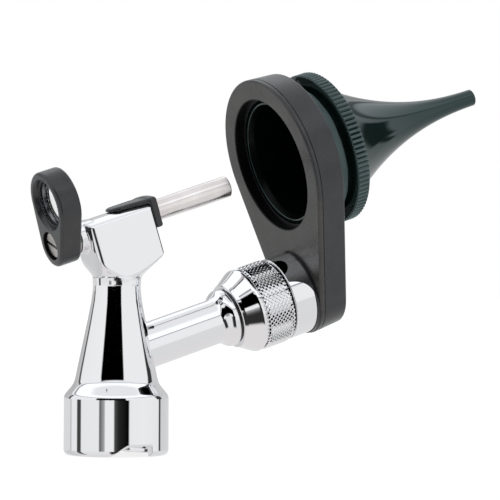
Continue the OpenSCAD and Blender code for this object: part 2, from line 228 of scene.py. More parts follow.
def drawn(tree, place):
    """Drawn and brushed tube: fine lines along it and a slow change of tone."""
    lines = tree.noise(place, 900, 3, stretch=(0.04, 1, 1))
    cloud = tree.ramp(tree.noise(place, 160, 2), [(0.35, 0.0), (0.65, 1.0)])
    return {
        "Base_Color": tree.blend(cloud, (0.78, 0.735, 0.72), (0.86, 0.83, 0.82)),
        "Roughness": tree.ramp(lines, [(0.3, 0.12), (0.7, 0.22)]),
        "Normal": tree.bump(lines, 0.00001, 0.5),
    }


def machined(deep, pale):
    """Turned and slightly tarnished metal."""
    def build(tree, place):
        marks = tree.noise(place, 1800, 3, stretch=(1, 0.15, 1))
        tarnish = tree.noise(place, 330, 4)
        return {
            "Base_Color": tree.blend(tree.ramp(tarnish, [(0.35, 0.0), (0.65, 1.0)]), deep, pale),
            "Roughness": tree.ramp(marks, [(0.3, 0.2), (0.7, 0.36)]),
            "Normal": tree.bump(marks, 0.00001, 0.4),
        }
    return build


def clear(tree, place):
    """Optical glass with a trace of dust."""
    return {"Roughness": tree.ramp(tree.noise(place, 900, 4), [(0.55, 0.0), (0.8, 0.04)])}


CHROME = material("chrome", plating, Metallic=1.0, Base_Color=(0.86, 0.865, 0.88))
FUZZ = {"Sheen_Weight": 0.35, "Sheen_Roughness": 0.25, "Sheen_Tint": (0.86, 0.95, 1.0)}
BLACK = material("black", blasted((0.014, 0.015, 0.017), (0.018, 0.019, 0.021)), **FUZZ, IOR=1.56)
# Lighter, warmer black for the cover's flat near face than for its edges: painted light on that
# face.
BLACK_FACE_LIT = material("black_face_painted_light", blasted((0.032, 0.0305, 0.0285), (0.036, 0.034, 0.032)), **FUZZ)
LENS_RING = material("lens_ring_metal", machined((0.13, 0.135, 0.15), (0.2, 0.205, 0.22)),
                     Metallic=1.0)
# Near-black washer between the collar and the carrier: a real part, whose dark ring also stands in
# for the contact shadow there.
WASHER_BLACK_SHADOW = material("washer_black_painted_shadow", moulded((0.006, 0.007, 0.009), (0.012, 0.013, 0.016)), IOR=1.5)
GREEN = material("green", moulded((0.0035, 0.0105, 0.0085), (0.0055, 0.0145, 0.012)), IOR=1.6,
                 Specular_Tint=(0.72, 0.97, 1.0))
# Rougher green for the ribbed rim and the band of hub in front of it. The grain is the ribs' own;
# the lighter base colour is painted highlight for the light those ribs and the hub catch.
GREEN_RIM_LIT = material("green_rim_painted_light", blasted((0.044, 0.068, 0.07), (0.052, 0.078, 0.08)),
                     Specular_Tint=(0.8, 0.98, 1.0), Sheen_Weight=0.3, Sheen_Tint=(0.75, 1.0, 1.0))
SATIN = material("lamp_metal", drawn, Metallic=1.0)
STEEL = material("steel", machined((0.44, 0.43, 0.41), (0.6, 0.59, 0.57)), Metallic=1.0)
# Near-black for the bore walls and the loupe's screw recess: painted shade where those walls lie in
# shadow.
BLACK_BORE_SHADE = material("black_bore_painted_shade", blasted((0.0025, 0.0027, 0.003), (0.004, 0.004, 0.0045)),
                      IOR=1.25)
# Near-black green for the speculum's inside walls: painted shade for the dark deep inside the
# funnel.
GREEN_BORE_SHADE = material("green_bore_painted_shade", blasted((0.0007, 0.0018, 0.0015), (0.001, 0.0024, 0.002)),
                      IOR=1.2)
NICKEL = material("nickel", machined((0.46, 0.45, 0.43), (0.58, 0.565, 0.545)), Metallic=1.0)
BRASS = material("brass", machined((0.5, 0.34, 0.13), (0.74, 0.56, 0.27)), Metallic=1.0)
GLASS = material("glass", clear, Base_Color=(0.97, 0.99, 0.99), Transmission_Weight=1.0, IOR=1.5)
RESIN = material("insulation", blasted((0.04, 0.033, 0.028), (0.055, 0.045, 0.038)))
SLEEVE = material("wire", blasted((0.32, 0.03, 0.025), (0.4, 0.045, 0.035)))


# ---- mesh making ----

WELD_GAP = 2e-7         # metres between points that are one
THIN_EDGE = 1e-7        # metres of an edge that is nothing
FACES_IN = 0.3          # share of a bore wall's normal that points at the axis
LEAST_TURN = 3          # degrees of a corner that is worth a fillet
FILLET_FACET = 14       # degrees of a fillet per facet
FILLET_SHARE = 0.48     # share of a side that one fillet may take
HOLE_STEPS = 144        # facets round a hole


def place_mesh(name, verts, faces, place):
    """A new object from points in one of the frames above."""
    mesh = bpy.data.meshes.new(name)
    mesh.from_pydata([place @ Vector(v) for v in verts], [], faces)
    mesh.validate()
    obj = bpy.data.objects.new(name, mesh)
    bpy.context.scene.collection.objects.link(obj)
    return obj


def weld(obj, sharp=35):
    """Joins touching points, turns all faces outwards and shades smooth between sharp edges."""
    mesh = obj.data
    bm = bmesh.new()
    bm.from_mesh(mesh)
    bmesh.ops.remove_doubles(bm, verts=bm.verts, dist=WELD_GAP)
    bmesh.ops.dissolve_degenerate(bm, edges=bm.edges, dist=THIN_EDGE)
    bmesh.ops.recalc_face_normals(bm, faces=bm.faces)
    bm.to_mesh(mesh)
    bm.free()
    mesh.shade_smooth()
    mesh.set_sharp_from_angle(angle=math.radians(sharp))
    even = obj.modifiers.new("even_normals", "WEIGHTED_NORMAL")
    even.keep_sharp = True
    return obj


def stands_for(obj, body, slot, finish, *nodes):
    """Gives a piece its body and its finish in a new material slot, and hides the CAD nodes it
    replaces. The slot argument is not used.
    """
    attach(obj, body)
    if nodes:
        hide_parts(*nodes)
    obj.data.materials.append(finish)
    return obj


def paint_bore_shade(obj, axis, reach, finish):
    """Gives the walls that face in towards an axis, out to a radius, a darker material of their
    own: painted shade for the shadow inside a bore.
    """
    obj.data.materials.append(finish)
    to_axis = axis.inverted()
    for face in obj.data.polygons:
        _, y, z = to_axis @ face.center
        _, across, up = (to_axis.to_3x3() @ face.normal).normalized()
        off = math.hypot(y, z)
        if off < reach and across * y + up * z < -FACES_IN * off:
            face.material_index = len(obj.data.materials) - 1


def filleted(corners):
    """A closed outline of (x, r, fillet radius) corners with each corner rounded."""
    out = []
    count = len(corners)
    for i, (x, r, radius) in enumerate(corners):
        here = np.array((x, r), float)
        to_last = np.array(corners[i - 1][:2], float) - here
        to_next = np.array(corners[(i + 1) % count][:2], float) - here
        long_last, long_next = np.linalg.norm(to_last), np.linalg.norm(to_next)
        if radius == 0 or min(long_last, long_next) < 1e-6:
            out.append(tuple(here))
            continue
        a, b = to_last / long_last, to_next / long_next
        turn = math.pi - math.acos(max(-1, min(1, float(a @ b))))
        if turn < math.radians(LEAST_TURN):
            out.append(tuple(here))
            continue
        back = min(radius * math.tan(turn / 2), FILLET_SHARE * min(long_last, long_next))
        steps = max(2, math.ceil(math.degrees(turn) / FILLET_FACET))
        start, end = here + a * back, here + b * back
        for k in range(steps + 1):
            t = k / steps
            w = 2 * (1 - t) * t * math.cos(turn / 2)
            weights = (1 - t) ** 2, w, t ** 2
            bent = weights[0] * start + weights[1] * here + weights[2] * end
            out.append(tuple(bent / sum(weights)))
    return out


def lathe(name, outline, place, steps=128, swell=None):
    """A closed outline of (x, r) turned about x. swell(x, r, angle) may add to a radius."""
    verts, faces = [], []
    rows = len(outline)
    for i in range(steps):
        angle = 2 * math.pi * i / steps
        for x, r in outline:
            grown = r + (swell(x, r, angle) if swell else 0)
            verts.append((x, grown * math.cos(angle), grown * math.sin(angle)))
    for i in range(steps):
        j = (i + 1) % steps
        for k in range(rows):
            n = (k + 1) % rows
            faces.append((i * rows + k, j * rows + k, j * rows + n, i * rows + n))
    return place_mesh(name, verts, faces, place)


def link_outline(foot, head, reach, grow, count=200):
    """(y, z) outline of a link, round its foot at the origin and its head at height reach."""
    lean = math.asin((head - foot) / reach)
    arcs = ((reach, head + grow, -lean, math.pi + lean, count * 3 // 5),
            (0, foot + grow, math.pi + lean, 2 * math.pi - lean, count * 2 // 5))
    out = []
    for height, radius, start, end, steps in arcs:
        for k in range(steps):
            angle = start + (end - start) * k / (steps - 1)
            out.append((radius * math.cos(angle), height + radius * math.sin(angle)))
    return out


def slab(name, place, outline, edge, holes):
    """A flat piece across x, with an edge of (x, growth of the outline) and holes through it.

    Each hole is (y, z, [(x, r), ...]).
    """
    verts, faces, near, far = [], [], [], []

    def wall(loops):
        first = len(verts)
        size = len(loops[0])
        for loop in loops:
            verts.extend(loop)
        for row in range(len(loops) - 1):
            for k in range(size):
                a, b = first + row * size + k, first + row * size + (k + 1) % size
                faces.append((a, b, b + size, a + size))
        near.append(list(range(first, first + size)))
        far.append(list(range(first + (len(loops) - 1) * size, first + len(loops) * size)))

    wall([[(x, y, z) for y, z in outline(grow)] for x, grow in edge])
    for y, z, profile in holes:
        angles = np.linspace(0, 2 * math.pi, HOLE_STEPS + 1)[:-1]
        ring = [(math.cos(a), math.sin(a)) for a in angles]
        wall([[(x, y + r * c, z + r * s) for c, s in ring] for x, r in profile])
    for rings in (near, far):
        flat = [[Vector((verts[i][1], verts[i][2], 0)) for i in ring] for ring in rings]
        index = [i for ring in rings for i in ring]
        faces.extend(tuple(index[k] for k in corner) for corner in tessellate_polygon(flat))
    return place_mesh(name, verts, faces, place)


def rounded_edge(x0, x1, radius, steps=5):
    """(x, growth) stations from one face to the other with both edges rounded."""
    angles = np.linspace(0, math.pi / 2, steps + 1)
    first = [(x0 + radius * (1 - math.sin(a)), -radius * (1 - math.cos(a))) for a in angles[::-1]]
    return first + [(x1 + x0 - x, g) for x, g in first[::-1]]


# ---- solids given by a distance field, for the cast and moulded shapes that blend ----

SLOPE_STEP = 1e-3       # millimetres between the two readings of a slope
PULLS = 5               # times that each point is pulled to the zero surface
STRAY = 0.7             # share of a cell that a point may move


def smooth_max(a, b, k):
    """The larger of two fields, with the corner between them rounded over a length k."""
    h = np.maximum(k - np.abs(a - b), 0) / k
    return np.maximum(a, b) + h * h * k / 4


def smooth_min(a, b, k):
    """The smaller of two fields, with the corner between them filled over a length k."""
    return -smooth_max(-a, -b, k)


def surface(name, field, low, high, cell, place):
    """The zero surface of a field as quads, with its points and normals set by the field itself."""
    sides = [np.arange(lo - cell, hi + 2 * cell, cell) for lo, hi in zip(low, high)]
    shape = tuple(len(s) for s in sides)
    inside = np.empty(shape, bool)
    ys, zs = np.meshgrid(sides[1], sides[2], indexing="ij")
    for i, x in enumerate(sides[0]):
        inside[i] = field(np.full(ys.shape, x), ys, zs) < 0
    count = sum(
        inside[i:shape[0] - 1 + i, j:shape[1] - 1 + j, k:shape[2] - 1 + k].astype(np.int8)
        for i in (0, 1) for j in (0, 1) for k in (0, 1)
    )
    crossed = (count > 0) & (count < 8)
    number = np.full(crossed.shape, -1)
    number[crossed] = np.arange(crossed.sum())
    middle = [s[:-1][index] + cell / 2 for s, index in zip(sides, np.nonzero(crossed))]
    spot = np.array(middle)
    home = spot.copy()

    def slope(p):
        return np.array([
            (field(*(p + shift)) - field(*(p - shift))) / (2 * SLOPE_STEP)
            for shift in (np.eye(3) * SLOPE_STEP)[:, :, None]
        ])

    for _ in range(PULLS):
        grad = slope(spot)
        spot = spot - grad * field(*spot) / np.maximum((grad ** 2).sum(0), 1e-6)
        spot = np.clip(spot, home - STRAY * cell, home + STRAY * cell)
    normal = slope(spot)
    normal /= np.maximum(np.linalg.norm(normal, axis=0), 1e-9)

    # one quad across each cell edge that enters or leaves the solid
    quads = []
    for axis in range(3):
        ahead = [slice(None)] * 3
        behind = [slice(None)] * 3
        ahead[axis] = slice(1, None)
        behind[axis] = slice(None, -1)
        changed = inside[tuple(ahead)] != inside[tuple(behind)]
        at = np.array(np.nonzero(changed))
        b, c = (axis + 1) % 3, (axis + 2) % 3
        ok = np.all([at[b] > 0, at[c] > 0, at[b] < shape[b] - 1, at[c] < shape[c] - 1], axis=0)
        at = at[:, ok]
        corners = []
        for db, dc in ((-1, -1), (0, -1), (0, 0), (-1, 0)):
            cellwise = at.copy()
            cellwise[b] += db
            cellwise[c] += dc
            corners.append(number[tuple(cellwise)])
        ring = np.array(corners).T
        leaving = inside[tuple(at)]
        ring[~leaving] = ring[~leaving][:, ::-1]
        quads.append(ring)
    faces = np.concatenate(quads)
    obj = place_mesh(name, spot.T.tolist(), faces.tolist(), place)
    obj.data.shade_smooth()
    turn = np.array(place.to_3x3().normalized())
    obj.data.normals_split_custom_set_from_vertices((turn @ normal).T.tolist())
    return obj


def in_sight(x, y, z):
    """ROW coordinates to SIGHT coordinates, in millimetres."""
    up = z - arm_z
    c, s = math.cos(tilt), math.sin(tilt)
    return x * c + up * s, y, up * c - x * s


# ---- chromed body: millimetres, heights up the socket's axis ----

PROFILE_STEP = 0.05
CORNER_ROLL = 0.5
SKIRT_R = 11.75
NECK_TOP = 39.6
BLOCK_FOOT = 38
BLOCK_HALF = 5.3
BLOCK_BACK, BLOCK_FRONT = 0.1, 16.1         # along the sight line
CROWN_UP, CROWN_R = 20.7, 10.7              # the block's rounded top, about the sight line
BOSS_R, BOSS_START, BOSS_END = 3.9, -1.9, 2
BORE_START, BORE_GAP = 2.5, 0.12
SOCKET_R, SOCKET_DEPTH = 9.6, 10.5
SEAT_STEPS = ((9.28, 11.2), (8.6, 13.3))    # radius and height of the seats over the socket
NOTCH_DEPTH, NOTCH_HALF, NOTCH_RAMP, NOTCH_IN = 2.4, 3.55, 2.4, 6
GROOVE_IN, GROOVE_OUT = 9, 10.6             # radii of the bayonet groove
MM_A_DEGREE = 0.17                          # along the socket's wall
STEEPEST_CONE, STEEPEST_FLARE = 0.95, 0.75  # turn a radius's excess into a distance
QUICK_CELL, FINE_CELL = 0.36, 0.2


def smooth_profile(stations):
    """Heights and radii of a turned profile with its corners rolled over a length."""
    z = np.arange(-4, 60, PROFILE_STEP)
    r = np.interp(z, *zip(*stations))
    half = int(CORNER_ROLL / PROFILE_STEP)
    kernel = np.hanning(2 * half + 3)
    padded = np.pad(r, half + 1, mode="edge")
    return z, np.convolve(padded, kernel / kernel.sum(), mode="valid")


BODY_Z, BODY_R = smooth_profile([
    (-4, SKIRT_R), (12.95, SKIRT_R), (13.6, 11.5), (15.45, 9.95), (16.2, 9.5), (17.2, 9.22),
    (19.67, 8.73), (22.1, 8.21), (28, 6.95), (30.4, 6.45), (34.7, 5.62), (36.4, 5.42),
    (38.1, 5.35), (39.5, 5.45), (60, 5.45),
])
FLARE_Z, FLARE_R = smooth_profile([
    (-4, 5.3), (39.2, 5.3), (39.7, 5.45), (40.3, 5.85), (41.3, 6.85), (42.6, 8.25),
    (44, 9.7), (46, 11.8), (60, 26.4),
])


def notch(across, out, z):
    """The notch in the skirt's edge, with a ramp up one side."""
    ramp = (z - NOTCH_DEPTH) * 0.8 - (across + NOTCH_RAMP) * 0.6
    cut = smooth_max(smooth_max(z - NOTCH_DEPTH, across - NOTCH_HALF, 0.5), ramp, 1.2)
    return np.maximum(cut, NOTCH_IN - out)


def groove(across, out, z):
    """The bayonet groove in the socket's wall: an inlet from below and a track round from it."""
    angle = np.degrees(np.arctan2(out, across))
    inlet = np.maximum(np.abs(angle - 90) - 7, z - 6.4)
    track = np.maximum(np.abs(angle - 102) - 19, np.abs(z - 5.2) - 1.2)
    cut = np.minimum(inlet * MM_A_DEGREE, track * MM_A_DEGREE)
    r = np.hypot(across, out)
    return np.maximum(np.maximum(cut, r - GROOVE_OUT), GROOVE_IN - r)


def casting(x, y, z):
    """Skirt, cone, neck, flat-sided block and boss, less the socket, the notches and the bores."""
    s, v, u = in_sight(x, y, z)
    r = np.hypot(x, y)
    turned = (r - np.interp(z, BODY_Z, BODY_R)) * STEEPEST_CONE
    turned = smooth_max(turned, -z, 1.4)
    turned = np.maximum(turned, z - NECK_TOP)
    flare = (r - np.interp(z, FLARE_Z, FLARE_R)) * STEEPEST_FLARE
    crown = np.hypot(v, u - CROWN_UP) - CROWN_R
    block = smooth_max(flare, np.abs(y) - BLOCK_HALF, 0.35)
    block = smooth_max(block, BLOCK_BACK - s, 1.5)
    block = smooth_max(block, s - BLOCK_FRONT, 0.9)
    block = smooth_max(block, crown, 0.5)
    block = np.maximum(block, BLOCK_FOOT - z)
    solid = smooth_min(turned, block, 0.25)
    off_lamp = np.hypot(v, u - lamp_up)
    boss = smooth_max(off_lamp - BOSS_R, BOSS_START - s, 0.4)
    boss = np.maximum(boss, s - BOSS_END)
    boss = smooth_max(boss, crown, 0.3)
    solid = smooth_min(solid, boss, 0.7)
    solid = smooth_max(solid, -np.maximum(r - SOCKET_R, z - SOCKET_DEPTH), 0.4)
    for seat_r, height in SEAT_STEPS:
        solid = np.maximum(solid, -np.maximum(r - seat_r, z - height))
    bore = np.maximum(off_lamp - lamp_r - BORE_GAP, BORE_START - s)
    solid = smooth_max(solid, -bore, 0.12)
    for side in (1, -1):
        across, out = x * side, -y * side
        solid = smooth_max(solid, -notch(across, out, z), 0.5)
        solid = np.maximum(solid, -groove(across, out, z))
    return solid


def body():
    low, high = (np.array(c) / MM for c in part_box("head_body"))
    cell = FINE_CELL
    obj = surface("body_casting", casting, low, high, cell, ROW)
    stands_for(obj, "head", "chrome", CHROME, "head_body")


def arm():
    start, end, bead = span("arm_tube", SIGHT)
    tube = points("arm_tube", SIGHT)
    root = np.hypot(tube[:, 1], tube[:, 2])[tube[:, 0] < start + 0.5].max()
    bore, flare_start, flare_long = 3.6, end - 3.9, 3.0
    flare = [
        (flare_start + flare_long * t, root + (bead - root) * (1 - math.cos(math.pi * t)) / 2, 0)
        for t in np.linspace(0, 1, 15)
    ]
    outline = filleted([
        (start, bore, 0), (start, root, 0), *flare, (end, bead, 0.7), (end, bore, 0.1),
    ])
    stands_for(weld(lathe("arm_tube_chrome", outline, SIGHT)), "head", "chrome", CHROME, "arm_tube")


def collar():
    start, end, radius = span("swivel_collar", SIGHT)
    bore, outer = 3.5, radius + 0.12
    outline = filleted([(start, bore, 0), (start, outer, 0.25), (end, outer, 0.12), (end, bore, 0)])
    band = weld(lathe("collar_chrome", outline, SIGHT))
    stands_for(band, "carrier", "chrome", CHROME, "swivel_collar")


# ---- knurled nut ----

KNURLS = 57             # diamonds round the nut
KNURL_DEPTH = 0.32
KNURL_TOP = 0.3         # share of a diamond's width that is flat on top
KNURL_LONG = 0.98       # a diamond's width over its length
KNURL_END_DROP = 0.16   # how much lower the first and last rows are


def knurl(x0, x1, radius, place, name):
    """A sleeve of raised diamonds between two crossed sets of helical grooves."""
    verts, faces = [], []
    rows = 2 * round((x1 - x0) / (2 * math.pi * radius / KNURLS) * KNURL_LONG)
    half = (x1 - x0) / rows
    root = radius - KNURL_DEPTH

    def spot(x, turn, r):
        angle = 2 * math.pi * turn / KNURLS
        return x, r * math.cos(angle), r * math.sin(angle)

    for row in range(1, rows):
        middle = x0 + row * half
        high = radius - (KNURL_END_DROP if row in (1, rows - 1) else 0)
        for k in range(KNURLS):
            turn = k + 0.5 * (row % 2)
            first = len(verts)
            corners = ((-half, 0), (0, 0.5), (half, 0), (0, -0.5))
            verts += [spot(middle + a, turn + b, root) for a, b in corners]
            verts += [spot(middle + KNURL_TOP * a, turn + KNURL_TOP * b, high) for a, b in corners]
            faces.append(tuple(first + 4 + i for i in range(4)))
            for i in range(4):
                j = (i + 1) % 4
                faces.append((first + i, first + j, first + 4 + j, first + 4 + i))
    return place_mesh(name, verts, faces, place)


def nut():
    start, end, radius = span("lock_nut", SIGHT)
    bore, well, floor_x = 3.45, 7.6, end - 5.6
    band, neck, root = radius - 0.05, radius - 0.65, radius - 0.2 - KNURL_DEPTH
    outline = filleted([
        (start, bore, 0), (start, 7.35, 0.3), (start + 0.9, 7.75, 0.4), (start + 3.7, 9.5, 0.35),
        (start + 4.1, band, 0.25), (start + 4.75, band, 0.2), (start + 4.85, neck, 0.08),
        (start + 5.2, neck, 0.08), (start + 5.3, root, 0.05), (end - 0.35, root, 0.1),
        (end, root - 0.3, 0.1), (end, well, 0), (floor_x, well, 0), (floor_x, bore, 0),
    ])
    turned = weld(lathe("nut_body", outline, SIGHT))
    stands_for(turned, "nut", "chrome", CHROME, "lock_nut")
    diamonds = knurl(start + 5.15, end - 0.15, radius + 0.05, SIGHT, "nut_knurl")
    stands_for(diamonds, "nut", "chrome", CHROME)


# ---- loupe and lamp ----

def loupe():
    near, far, _ = span("loupe_frame", LOUPE)
    parts = points("loupe_frame", LOUPE)
    foot = -parts[:, 2].min()
    head = parts[:, 2].max() - loupe_reach
    seat_x, seat_r = far - 0.8, 5.27
    floor_x, recess_r, screw_r = near + 2.65, 3.18, 2.1
    lens_hole = [(near, 6.0), (near + 0.15, 5.85), (near + 1.2, 5.5), (near + 1.3, seat_r),
                 (seat_x, seat_r), (seat_x, 4.8), (far, 4.95)]
    screw_hole = [(near, 3.3), (near + 0.12, recess_r), (floor_x, recess_r), (floor_x, screw_r),
                  (far, screw_r)]
    obj = slab("loupe_body", LOUPE, lambda grow: link_outline(foot, head, loupe_reach, grow),
               rounded_edge(near, far, 0.75), [(0, loupe_reach, lens_hole), (0, 0, screw_hole)])
    obj = stands_for(weld(obj), "loupe", "black", BLACK, "loupe_frame")
    # Painted shade on the walls of the screw recess.
    paint_bore_shade(obj, LOUPE, recess_r + 0.22, BLACK_BORE_SHADE)

    eye = LOUPE @ Matrix.Translation((0, 0, loupe_reach))
    start, end, radius = span("loupe_lens", eye)
    middle, half = (start + end) / 2, (end - start) / 2
    thinning = 0.7      # share of the thickness that the lens loses by its edge
    near_face = [(middle - half * (1 - (r / radius) ** 2 * thinning), r)
                 for r in np.linspace(0, radius, 16)]
    far_face = [(2 * middle - x, r) for x, r in near_face[::-1]]
    obj = weld(lathe("lens_glass", near_face + far_face, eye, 96))
    stands_for(obj, "loupe", "glass", GLASS, "loupe_lens")
    start, end, radius = span("loupe_lens_ring", eye)
    outline = filleted([
        (start, radius, 0), (start, radius - 0.35, 0.15), (end, radius - 0.75, 0.12),
        (end, radius, 0),
    ])
    ring = weld(lathe("lens_ring", outline, eye))
    stands_for(ring, "loupe", "black", LENS_RING, "loupe_lens_ring")


TAB_UP, TAB_R = 8.3, 24                 # the tab's arched top, about the sight line
TAB_NOSE, TAB_HALF = 10.3, 3            # where its rounded end is centred, and that end's radius
TAB_SPREAD = 0.18                       # how fast it widens from there
TAB_STEP, TAB_FRONT, TAB_FOOT = 16.2, 18.05, 28
CHEEK_X, CHEEK_THICK, CHEEK_HALF, CHEEK_FOOT = 17.15, 0.9, 4.4, 25.1
QUICK_TAB_CELL, TAB_CELL = 0.2, 0.1


def lamp():
    start, end, radius = span("lamp_tube", LAMP)
    taper_from, taper_to = TAB_FRONT + 0.35, end - 8
    outline = filleted([
        (start, radius - 0.42, 0), (start, radius - 0.14, 0.1), (taper_from, radius - 0.12, 0),
        (taper_to, radius, 0), (end, radius - 0.02, 0.4), (end, radius - 0.55, 0.2),
        (end - 1.5, radius - 0.5, 0),
    ])
    sleeve = weld(lathe("lamp_sleeve", outline, LAMP))
    stands_for(sleeve, "lamp", "lamp_metal", SATIN, "lamp_tube")


def tab(x, y, z):
    """Thumb tab: a dished tongue laid along the block's crown and a cheek in front of the block."""
    over_crown = CROWN_R + 0.06 - np.hypot(y, z - CROWN_UP)
    droop = 0.25 * np.clip((9.4 - x) / 2, 0, 1) ** 2
    top = np.hypot(y, z - TAB_UP) - TAB_R + droop
    along = x - TAB_NOSE
    plan = np.where(along < 0, np.hypot(along, y), np.abs(y) - TAB_SPREAD * along) - TAB_HALF
    tongue = smooth_max(top, np.where(x < TAB_STEP, over_crown, TAB_FOOT - z), 0.3)
    tongue = smooth_max(tongue, plan, 0.7)
    tongue = smooth_max(tongue, x - TAB_FRONT, 0.9)
    dish = smooth_max(smooth_max(-0.2 - top, plan + 0.75, 0.3), x - TAB_STEP - 0.4, 0.4)
    tongue = smooth_max(tongue, -dish, 0.25)
    cheek = smooth_max(np.abs(x - CHEEK_X) - CHEEK_THICK, np.abs(y) - CHEEK_HALF, 0.5)
    cheek = smooth_max(cheek, CHEEK_FOOT - z, 0.6)
    cheek = smooth_max(cheek, top, 0.6)
    solid = smooth_min(tongue, cheek, 0.4)
    return smooth_max(solid, -(np.hypot(y, z - lamp_up) - lamp_r + 0.1), 0.12)


def clip():
    p = points("lamp_clip", SIGHT)
    cell = TAB_CELL
    margin = 0.4
    obj = surface("lamp_tab", tab, p.min(0) - margin, p.max(0) + margin, cell, SIGHT)
    stands_for(obj, "lamp", "black", BLACK, "lamp_clip")


# ---- carrier and speculum ----

SWIVEL_HOLE_R = 3.02
SEAM_DEPTH = 0.22       # of the groove round the sides between cover and plate
BIG_FACE = 0.0015       # metres from a face's middle to its corner, only on the flat near face


def screw_places():
    """The middle of each cover screw."""
    p = points("cover_screws", CARRIER)
    angles = np.degrees(np.arctan2(p[:, 2] - carrier_reach, p[:, 1]))
    groups = {}
    for angle, spot in zip(angles, p):
        groups.setdefault(round(angle / 40), []).append(spot)
    return [tuple((np.min(g, 0) + np.max(g, 0)) / 2) for g in groups.values()]


def carrier():
    near, seam, _ = span("carrier_cover", CARRIER)
    _, far, _ = span("carrier_plate", CARRIER)
    outer = points("carrier_plate", CARRIER)
    foot = -outer[:, 2].min()
    head = outer[:, 2].max() - carrier_reach
    guest = points("speculum", CARRIER)
    guest_r = np.hypot(guest[:, 1], guest[:, 2] - carrier_reach)
    hub = guest_r[guest[:, 0] < far].max() + 0.08
    stop = guest[:, 0].min()

    def outline(grow):
        return link_outline(foot, head, carrier_reach, grow, 260)

    def draft(x):
        """The side draws in towards the far face."""
        return 0.2 - 0.5 * (x - near) / (far - near)

    side = draft(seam)
    cover_edge = [(x, grow + draft(x)) for x, grow in rounded_edge(near, seam, 0.5)[:-4]]
    cover_edge += [(seam - 0.16, side), (seam - 0.04, side - 0.1), (seam, side - SEAM_DEPTH)]
    bore = [(near, hub + 0.35), (near + 0.1, hub + 0.12), (near + 0.35, hub), (seam, hub)]
    swivel_hole = [(near, SWIVEL_HOLE_R), (seam, SWIVEL_HOLE_R)]
    obj = slab("carrier_face", CARRIER, outline, cover_edge,
               [(0, carrier_reach, bore), (0, 0, swivel_hole)])
    obj = stands_for(weld(obj), "carrier", "black", BLACK, "carrier_cover")
    # The big flat faces take the lighter black: painted light on the near face.
    obj.data.materials.append(BLACK_FACE_LIT)
    for face in obj.data.polygons:
        corner = obj.data.vertices[face.vertices[0]].co
        face.material_index = int((corner - face.center).length > BIG_FACE)
    eye = CARRIER @ Matrix.Translation((0, 0, carrier_reach))
    # Painted shade on the walls of the cover's bore.
    paint_bore_shade(obj, eye, hub + 0.4, BLACK_BORE_SHADE)

    plate_edge = [(seam, side - SEAM_DEPTH), (seam + 0.04, side - 0.1), (seam + 0.14, side)]
    plate_edge += [(x, grow + draft(x)) for x, grow in rounded_edge(near, far, 0.45)[6:]]
    spring_r, spring_from, spring_to = hub - 0.5, stop + 0.1, stop + 0.9
    bore = [(seam, hub), (spring_from, hub), (spring_from, spring_r), (spring_to, spring_r),
            (spring_to, hub), (far - 0.4, hub), (far, hub + 0.3)]
    web = near + 4.6
    holes = [(0, carrier_reach, bore)]
    holes.append((0, 0, [(seam, SWIVEL_HOLE_R), (web, SWIVEL_HOLE_R), (web, 1.55), (web + 1, 1.55),
                         (web + 1, 3.3), (far, 3.3)]))
    for _, y, z in screw_places():
        holes.append((y, z, [(seam, 0.62), (far - 1, 0.62), (far - 1, 1.4), (far, 1.4)]))
    obj = slab("carrier_body", CARRIER, outline, plate_edge, holes)
    obj = stands_for(weld(obj), "carrier", "black", BLACK, "carrier_plate")
    # Painted shade on the walls of the plate's bore.
    paint_bore_shade(obj, eye, hub + 0.1, BLACK_BORE_SHADE)


RIBS = 96
RIB_DEPTH = 0.42
NECK_R = 13.5           # between the hub and the rim
FUNNEL_R = 14.6         # where the funnel leaves the rim
WALL, WALL_TAPER = 1.2, 0.75


